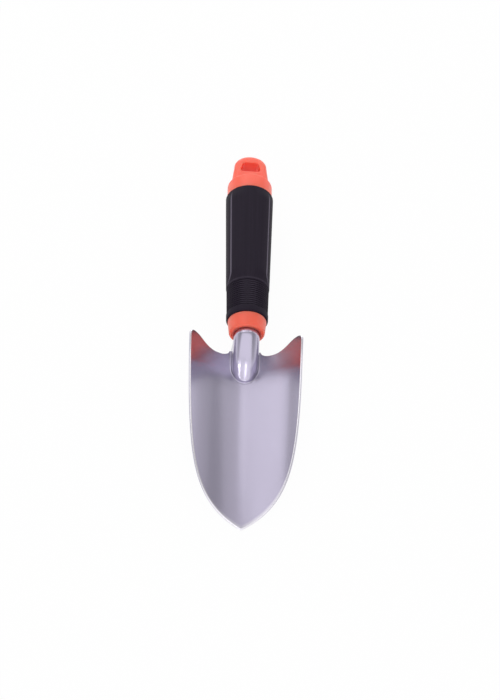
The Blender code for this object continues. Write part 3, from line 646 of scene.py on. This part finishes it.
turn_in = np.linspace(0, math.pi / 2, EDGE_STEPS)
rim_rings = inset(tongue_loop, TONGUE_EDGE * (1 - np.cos(turn_in)))
rim_height = THICK_HALF - TONGUE_EDGE * (1 - np.sin(turn_in))
turn_down = np.linspace(0, math.pi / 2, HOLE_STEPS)
hole_rings = inset(hole_loop, -HOLE_EASED * (1 - np.sin(turn_down)))
hole_height = THICK_HALF - HOLE_EASED * (1 - np.cos(turn_down))
share = np.linspace(0, 1, FACE_STEPS)[1:-1, None, None]
face_rings = rim_rings[-1] * (1 - share) + hole_rings[0] * share
rings = np.concatenate([rim_rings, face_rings, hole_rings])
height = np.concatenate([rim_height, np.full(len(face_rings), THICK_HALF), hole_height])
rings = np.concatenate([rings, rings[::-1], rings[:1]])
height = np.concatenate([height, -height[::-1], height[:1]])[:, None] * np.ones(TONGUE_POINTS)
tongue = closed_tube("tongue", rings[..., 0], height, rings[..., 1])

# %% [markdown]
# Collar, flange and tongue are one moulding, so the tongue is joined to the turned part, and the room for the steel
# tang and its pin is cut out. A Boolean modifier is the tool for both: it finds where the surfaces meet. The cutters
# are computed from the same formulas as the steel, grown by the gap between the pieces, and are removed afterwards.

# %% Core: join the tongue, cut the room for tang and pin
PIN_RADIUS, PIN_PLACE, PIN_ABOVE = 2 * MM, HANDLE_LENGTH - 34 * MM, 1.5 * MM
BORE_POINTS, BORE_HALF = 32, 15 * MM


def tang_room(start, end, steps=33):
    """A U-shaped wall: the tang's outer and inner half circles and skirts, each moved out by the gap."""
    radius = tang_radius(np.array([start, end]))
    angle = np.concatenate([[-math.pi / 2], np.linspace(-math.pi / 2, math.pi / 2, steps), [math.pi / 2]])
    skirt = np.concatenate([[TANG_SKIRT + SNUG], np.zeros(steps), [TANG_SKIRT + SNUG]])
    reach = np.stack([radius[0] + SNUG, radius[1] + SNUG, radius[1] - SHEET - SNUG, radius[0] - SHEET - SNUG])
    place = np.array([start, end, end, start])
    x = reach * np.sin(angle)[:, None]
    z = axis_height(place) + reach * np.cos(angle)[:, None] - skirt[:, None]
    points = np.stack([x, np.broadcast_to(place + TIP_Y, x.shape), z], axis=-1)
    number = np.arange(x.size).reshape(x.shape)
    caps = [number[0, [0, 2, 1]], number[0, [0, 3, 2]], number[-1, [0, 1, 2]], number[-1, [0, 2, 3]]]
    body = grid_triangles(np.column_stack([number, number[:, 0]]))
    return points.reshape(-1, 3), np.concatenate([body, caps])


room_points, room_triangles = tang_room(COLLAR_FACE - SHEET, TANG_END + GAP)
tang_cutter = new_piece("tang_cutter", room_points, facing_out(room_points, room_triangles))
bore_turn = 2 * math.pi * np.arange(BORE_POINTS) / BORE_POINTS
bore_radius = (PIN_RADIUS + GAP) * np.array([0, 1, 1, 0])[:, None]
bore_reach = BORE_HALF * np.array([-1, -1, 1, 1])[:, None]
pin_cutter = closed_tube(
    "pin_cutter",
    bore_reach * np.ones(BORE_POINTS),
    PIN_ABOVE + bore_radius * np.cos(bore_turn),
    PIN_PLACE + bore_radius * np.sin(bore_turn),
)


def combined(piece, steps):
    """Runs Boolean operations on a piece one after another and keeps the result as plain mesh."""
    for operation, other in steps:
        boolean = piece.modifiers.new(other.name, "BOOLEAN")
        boolean.operation, boolean.solver, boolean.object = operation, "EXACT", other
    weighted = piece.modifiers.new("flat faces stay flat", "WEIGHTED_NORMAL")
    weighted.keep_sharp = True
    applied(piece)


combined(core, [("UNION", tongue), ("DIFFERENCE", tang_cutter), ("DIFFERENCE", pin_cutter)])
combined(blade, [("DIFFERENCE", pin_cutter)])
for cutter in (tongue, tang_cutter, pin_cutter):
    bpy.data.objects.remove(cutter)
print("core", len(core.data.polygons), "faces; blade", len(blade.data.polygons), "faces")

# %% [markdown]
# A finish is a small network of nodes, each of which takes values in and gives others out. Three helpers keep the
# networks short to write: one adds a node with its settings, one gives an input a constant or another node's output,
# and one does a step of arithmetic.

# %% Tools for nodes
def node(tree, kind, **settings):
    """Adds a node; settings named like a socket set that socket, the others set the node itself."""
    made = tree.nodes.new(kind)
    for key, value in settings.items():
        name = key.replace("_", " ").title()
        if name in made.inputs:
            made.inputs[name].default_value = value
        else:
            setattr(made, key, value)
    return made


def wired(tree, place, value):
    """Gives an input its value: a constant is set on the socket itself, and a node's output is linked to it."""
    if isinstance(value, bpy.types.NodeSocket):
        tree.links.new(value, place)
    else:
        place.default_value = value


def maths(tree, operation, *values):
    """One step of arithmetic on numbers and outputs of other nodes."""
    made = node(tree, "ShaderNodeMath", operation=operation)
    for place, value in zip(made.inputs, values):
        wired(tree, place, value)
    return made.outputs[0]


# %% [markdown]
# Every finish has a fine grain at its own scale: flakes in the silver paint, the spark-eroded skin of the orange
# moulding, the dull skin of the rubber, the drawing marks of the steel. The grain is one effect, so it is one node
# group with named inputs, placed in each material with its own values. It reads Object coordinates, which keep still
# when the camera or the part moves, and it can be stretched along the trowel, as flow lines in a moulding are.

# %% Node group: grain
def make_grain():
    """Noise on coordinates squeezed along the trowel by the stretch; the contrast spreads its middle half."""
    tree = bpy.data.node_groups.new("grain", "ShaderNodeTree")
    for label, default in (("Scale", 1000.0), ("Stretch", 1.0), ("Detail", 2.0), ("Contrast", 1.0)):
        socket = tree.interface.new_socket(label, in_out="INPUT", socket_type="NodeSocketFloat")
        socket.default_value = default
    tree.interface.new_socket("Grain", in_out="OUTPUT", socket_type="NodeSocketFloat")
    inside = tree.nodes.new("NodeGroupInput")
    outside = tree.nodes.new("NodeGroupOutput")
    place = tree.nodes.new("ShaderNodeTexCoord")
    squeeze = node(tree, "ShaderNodeCombineXYZ", x=1.0, z=1.0)
    scaled = node(tree, "ShaderNodeVectorMath", operation="MULTIPLY")
    noise = node(tree, "ShaderNodeTexNoise", roughness=0.55)
    spread = node(tree, "ShaderNodeMapRange", from_min=0.25, from_max=0.75, clamp=True)
    contrast = inside.outputs["Contrast"]
    wired(tree, squeeze.inputs["Y"], maths(tree, "DIVIDE", 1.0, inside.outputs["Stretch"]))
    wired(tree, scaled.inputs[0], place.outputs["Object"])
    wired(tree, scaled.inputs[1], squeeze.outputs[0])
    wired(tree, noise.inputs["Vector"], scaled.outputs[0])
    for label in ("Scale", "Detail"):
        wired(tree, noise.inputs[label], inside.outputs[label])
    wired(tree, spread.inputs["Value"], noise.outputs["Fac"])
    wired(tree, spread.inputs["To Min"], maths(tree, "MULTIPLY_ADD", contrast, -0.25, 0.5))
    wired(tree, spread.inputs["To Max"], maths(tree, "MULTIPLY_ADD", contrast, 0.25, 0.5))
    wired(tree, outside.inputs["Grain"], spread.outputs["Result"])
    return tree


grain_group = make_grain()


def grain(tree, **values):
    """Places the grain group in a material with its own values."""
    placed = tree.nodes.new("ShaderNodeGroup")
    placed.node_tree = grain_group
    for key, value in values.items():
        placed.inputs[key.title()].default_value = value
    return placed.outputs["Grain"]


print("grain inputs:", [item.name for item in grain_group.interface.items_tree])

# %% [markdown]
# The finishes share a few more steps: a mix of two colours, the value that the points carry, a range for the
# roughness, and a bump. A renderer works in linear light, so colours written as in a picture are turned to it first.

# %% Tools for finishes
def linear(red, green, blue):
    """A colour as a picture writes it, with the sRGB curve undone: a straight foot, then a power of 2.4."""
    share = np.array([red, green, blue]) / 255
    return (*np.where(share <= 0.04045, share / 12.92, ((share + 0.055) / 1.055) ** 2.4).tolist(), 1)


def colours(tree, factor, dark, light):
    """Mixes two colours by a factor that varies. Each is written as in a picture, or is a node's output."""
    mix = node(tree, "ShaderNodeMix", data_type="RGBA")
    wired(tree, mix.inputs["Factor"], factor)
    for place, colour in (("A", dark), ("B", light)):
        wired(tree, mix.inputs[place], colour if isinstance(colour, bpy.types.NodeSocket) else linear(*colour))
    return mix.outputs["Result"]


def carried(tree, name):
    """The value that the piece's points carry under this name."""
    return node(tree, "ShaderNodeAttribute", attribute_name=name).outputs["Fac"]


def ranged(tree, factor, low, high):
    """Carries a factor between 0 and 1 to the range from low to high."""
    spread = node(tree, "ShaderNodeMapRange", to_min=low, to_max=high)
    wired(tree, spread.inputs["Value"], factor)
    return spread.outputs["Result"]


def bumped(tree, factor, distance):
    """A bump of the given height, in metres, from a factor."""
    bump = node(tree, "ShaderNodeBump", strength=1.0, distance=distance)
    wired(tree, bump.inputs["Height"], factor)
    return bump.outputs["Normal"]


def new_finish(name):
    """A material, and the tree to build in, which has its Principled shader already."""
    finish = bpy.data.materials.new(name)
    finish.use_nodes = True
    return finish, finish.node_tree


def to_shader(tree, values):
    """Gives inputs of the Principled shader their values."""
    for label, value in values.items():
        wired(tree, tree.nodes["Principled BSDF"].inputs[label], value)
    print(len(tree.nodes), "nodes; on the shader:", *values)


# %% [markdown]
# The blade wears a silver lacquer: flakes of metal in a clear film. The flakes give a broad sheen that follows the
# form, and the film on top mirrors the lamps more sharply. Principled has both layers: a metallic base that is a
# little rough, and a coat. A slight violet cast in the silver and a faint, wide unevenness of tone keep it from
# looking like bare chrome, and the grain varies the tone and roughness at the scale of the flakes. On the round of
# the edge a painted highlight passes the tone to a nearly white one.

# %% Silver lacquer
silver, tree = new_finish("silver_lacquer")
flakes = grain(tree, scale=2600.0, detail=1.0, contrast=0.5)
clouds = grain(tree, scale=45.0, stretch=1.6, detail=3.0, contrast=1.0)
both_tones = maths(tree, "MULTIPLY_ADD", flakes, 0.5, maths(tree, "MULTIPLY", clouds, 0.5))
lacquer = colours(tree, both_tones, (181, 175, 195), (190, 184, 206))
# Painted highlight: where the edge value rises, the lacquer turns nearly white.
tone = colours(tree, carried(tree, "edge"), lacquer, (250, 247, 254))
to_shader(tree, {"Base Color": tone, "Roughness": ranged(tree, flakes, 0.21, 0.25), "Metallic": 0.95})
to_shader(tree, {"Coat Weight": 0.5, "Coat Roughness": 0.06})

# %% [markdown]
# The core is a glossy orange plastic, coloured through. Light enters such a plastic a little and comes out again, so
# its shaded sides stay warm. The moulding tool leaves a very fine skin, and the colour drifts slightly over the part.

# %% Orange plastic
orange, tree = new_finish("orange_plastic_skin")
skin = grain(tree, scale=1500.0, detail=2.0, contrast=1.2)
drift = grain(tree, scale=60.0, detail=2.0, contrast=1.0)
tone = colours(tree, drift, (255, 99, 76), (255, 107, 83))
to_shader(tree, {"Base Color": tone, "Roughness": ranged(tree, skin, 0.30, 0.40)})
to_shader(
    tree, {"Subsurface Weight": 0.55, "Subsurface Radius": (0.010, 0.0015, 0.001), "Subsurface Scale": 1.0}
)
to_shader(tree, {"Normal": bumped(tree, skin, 0.01 * MM)})

# %% [markdown]
# The grip is a black rubber with a violet tinge and a dull, slightly greasy sheen. Fine marks run along it where the
# rubber flowed in the mould: the same grain, stretched many times along the trowel, gives them, and a second, even
# grain breaks up the surface. Where the points carry a painted highlight, it turns grey.

# %% Black rubber
rubber, tree = new_finish("black_rubber_skin")
flow = grain(tree, scale=900.0, stretch=60.0, detail=2.0, contrast=1.4)
pores = grain(tree, scale=2200.0, detail=2.0, contrast=1.2)
black = colours(tree, flow, (29, 23, 35), (39, 32, 45))
# Painted highlight: where the points carry it, the black turns grey.
tone = colours(tree, carried(tree, "painted_highlight"), black, (120, 112, 128))
to_shader(tree, {"Base Color": tone, "Roughness": ranged(tree, flow, 0.55, 0.65), "Specular IOR Level": 0.10})
to_shader(tree, {"Normal": bumped(tree, pores, 0.02 * MM)})

# %% [markdown]
# The pin inside is plain drawn steel. It is the CAD model's own solid, whose shape is right: it only gets a finish.

# %% Plain steel
steel, tree = new_finish("drawn_steel")
drawn = grain(tree, scale=1800.0, detail=2.0, contrast=1.3)
tone = colours(tree, drawn, (176, 176, 180), (204, 204, 207))
to_shader(tree, {"Base Color": tone, "Roughness": ranged(tree, drawn, 0.28, 0.42), "Metallic": 1.0})

# %% [markdown]
# Each new piece now takes its finish and the body that it rides on, and the CAD node that it stands for is
# hidden. A rigid tool has one body.

# %% Hand the pieces over
for piece, finish, cad_node, slot in (
    (blade, silver, "blade", "painted_steel"),
    (core, orange, "handle_core", "orange_plastic"),
    (grip, rubber, "grip_sleeve", "black_rubber"),
):
    piece.data.materials.clear()
    piece.data.materials.append(finish)
    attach(piece, "root")
    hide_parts(cad_node)
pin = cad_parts["tang_pin"]
for place in pin.material_slots:
    place.material = steel
print("pieces:", blade.name, core.name, grip.name, "and the CAD model's own", pin.name)

# %% [markdown]
# The photograph's ground is pure white. A white floor would need a lot of light to look so, and that light would
# wash out the object. So the floor is part plain white paint, which shows the shadow, and part light of its own, for
# what the camera and mirrors see only.

# %% Floor
FLOOR_HALF, FLOOR_BELOW = 6.0, 0.05 * MM
FLOOR_PAINT, OWN_LIGHT = (0.92, 0.92, 0.92, 1), 0.96
corners = FLOOR_HALF * np.array([(-1, -1, 0), (1, -1, 0), (1, 1, 0), (-1, 1, 0)]) - (0, 0, FLOOR_BELOW)
floor = new_piece("floor", corners, np.array([(0, 1, 2), (0, 2, 3)]))
white = bpy.data.materials.new("white_floor")
white.use_nodes = True
tree = white.node_tree
tree.nodes.clear()
ray = node(tree, "ShaderNodeLightPath").outputs
seen_or_mirrored = maths(tree, "MAXIMUM", ray["Is Camera Ray"], ray["Is Glossy Ray"])
seen_at_all = maths(tree, "MAXIMUM", seen_or_mirrored, ray["Is Transmission Ray"])
paint = node(tree, "ShaderNodeBsdfDiffuse", color=FLOOR_PAINT)
glow = tree.nodes.new("ShaderNodeEmission")
mix = tree.nodes.new("ShaderNodeMixShader")
out = tree.nodes.new("ShaderNodeOutputMaterial")
wired(tree, mix.inputs[0], maths(tree, "MULTIPLY", seen_at_all, OWN_LIGHT))
wired(tree, mix.inputs[1], paint.outputs[0])
wired(tree, mix.inputs[2], glow.outputs[0])
wired(tree, out.inputs["Surface"], mix.outputs[0])
floor.data.materials.append(white)

# %% [markdown]
# The light is a plain studio. What a curved piece of silver shows is the room round it, so the lamps' places matter
# more than their number: four panels stand where the blade's trough mirrors them as light bands with darker strips
# between them, three wide ones light the object as a whole, and two small low ones give the nose of the ridge its
# highlights.

# %% Light
def soft_lamp(name, place, width, length, watts):
    """An area lamp that faces the trowel's middle; the more area the same watts have, the softer the light."""
    data = bpy.data.lights.new(name, "AREA")
    data.shape, data.size, data.size_y, data.energy = "RECTANGLE", width, length, watts
    lamp = bpy.data.objects.new(name, data)
    bpy.context.scene.collection.objects.link(lamp)
    lamp.location = place
    lamp.rotation_euler = (Vector((0, 0, 0)) - Vector(place)).to_track_quat("-Z", "Y").to_euler()


soft_lamp("overhead", (-0.57, 0.94, 1.28), 1.40, 1.3, 4.0)
soft_lamp("right_panel", (0.44, 0.94, 1.34), 0.72, 1.3, 0.8)
soft_lamp("right_strip", (1.333, 0.94, 0.46), 0.68, 1.3, 0.48)
soft_lamp("left_panel", (-1.27, 0.94, 0.62), 0.56, 1.3, 0.25)
soft_lamp("top", (-0.15, -0.85, 1.5), 3.4, 2.2, 6.5)
soft_lamp("front", (-0.1, -1.3, 1.1), 3.0, 2.4, 12.0)
soft_lamp("back", (0, 1.75, 0.85), 2.4, 1.5, 14.0)
soft_lamp("low_front", (0.085, -1.007, 0.235), 0.12, 0.12, 0.17)
soft_lamp("low_left", (-0.52, -0.86, 0.10), 0.12, 0.10, 0.4)
print(len(bpy.data.lights), "lamps")

# %% [markdown]
# The silver shows the studio's walls and ceiling too. They are the world's shader, so nothing has to be built: white
# near the floor, greyer towards the ceiling, and pure white to the camera. The level falls with the square of the
# height, because a few wide steps would show in the silver as edges.

# %% Room
ROOM_SIDES, ROOM_CEILING, ROOM_TURN = 1.15, 0.42, 0.60
WHITE = (1, 1, 1, 1)
world = bpy.data.worlds.new("studio")
world.use_nodes = True
bpy.context.scene.world = world
tree = world.node_tree
tree.nodes.clear()
ray = node(tree, "ShaderNodeLightPath").outputs
height = tree.nodes.new("ShaderNodeSeparateXYZ")
wired(tree, height.inputs[0], tree.nodes.new("ShaderNodeTexCoord").outputs["Generated"])
below = node(tree, "ShaderNodeMapRange", from_max=ROOM_TURN, to_min=1.0, to_max=0.0)
wired(tree, below.inputs["Value"], height.outputs["Z"])
squared = maths(tree, "POWER", below.outputs["Result"], 2.0)
room = node(tree, "ShaderNodeBackground", color=WHITE)
wired(tree, room.inputs["Strength"], maths(tree, "MULTIPLY_ADD", squared, ROOM_SIDES - ROOM_CEILING, ROOM_CEILING))
backdrop = node(tree, "ShaderNodeBackground", color=WHITE)
choose = tree.nodes.new("ShaderNodeMixShader")
out = tree.nodes.new("ShaderNodeOutputWorld")
wired(tree, choose.inputs[0], ray["Is Camera Ray"])
wired(tree, choose.inputs[1], room.outputs[0])
wired(tree, choose.inputs[2], backdrop.outputs[0])
wired(tree, out.inputs["Surface"], choose.outputs[0])
bpy.context.scene.view_settings.view_transform = "Standard"
print("room level", ROOM_SIDES, "at the floor,", ROOM_CEILING, "above")
